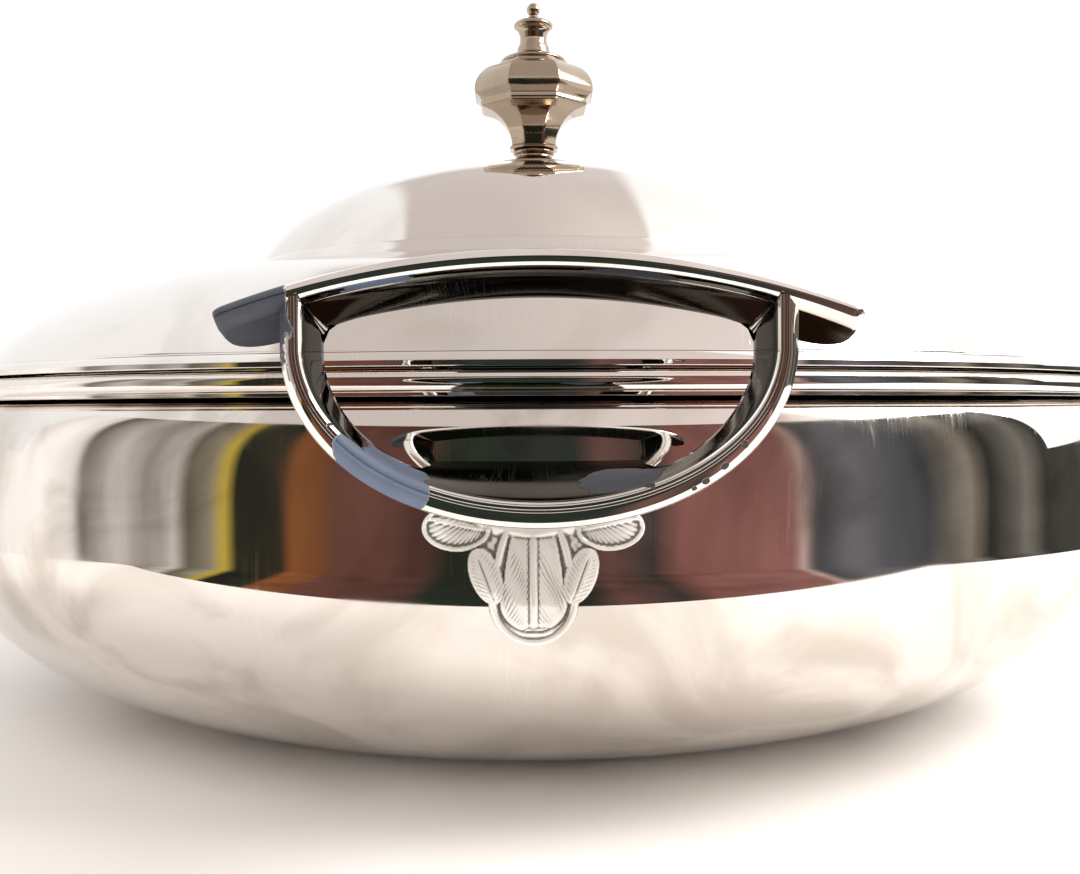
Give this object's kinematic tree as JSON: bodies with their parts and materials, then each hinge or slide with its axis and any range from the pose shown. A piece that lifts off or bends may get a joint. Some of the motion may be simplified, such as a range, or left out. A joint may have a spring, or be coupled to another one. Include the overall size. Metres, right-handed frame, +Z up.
{
  "type": "covered serving dish",
  "caption": "Round low covered serving dish in plated metal, with a stepped domed lift-off lid, an eight-sided finial and two opposed loop handles with leaf mounts.",
  "frame": {"origin": "centre of the flat ring that the dish rests on", "axes": "+Z up along the axis of the bowl and the lid; the two handles lie on the Y axis, the front one towards -Y; +X to the right seen from the front handle"},
  "size_m": [0.257, 0.326, 0.1598],
  "materials": {
    "silver_plate": "polished plated sheet metal, lightly tarnished and scratched",
    "cast_silver": "polished plated castings, with bare grey metal where the plating has worn off",
    "fastener": "dull brass, unplated, inside the lid"
  },
  "bodies": {
    "bowl": {"bowl_shell": "silver_plate", "rim_bead": "silver_plate", "front_handle_bar": "cast_silver", "front_handle_loop": "cast_silver", "front_handle_leaf": "cast_silver", "back_handle_bar": "cast_silver", "back_handle_loop": "cast_silver", "back_handle_leaf": "cast_silver"},
    "lid": {"lid_shell": "silver_plate", "lid_border": "silver_plate", "lid_bezel": "silver_plate", "finial_base": "cast_silver", "finial_vase": "cast_silver", "finial_collar": "cast_silver", "finial_tip": "cast_silver", "finial_stud": "fastener", "finial_washer": "fastener", "finial_nut": "fastener"}
  },
  "joints": [
    {"name": "lid_lift", "type": "slide", "parent": "bowl", "child": "lid", "axis": [0, 0, 1], "range_m": [0, 0.1]}
  ]
}
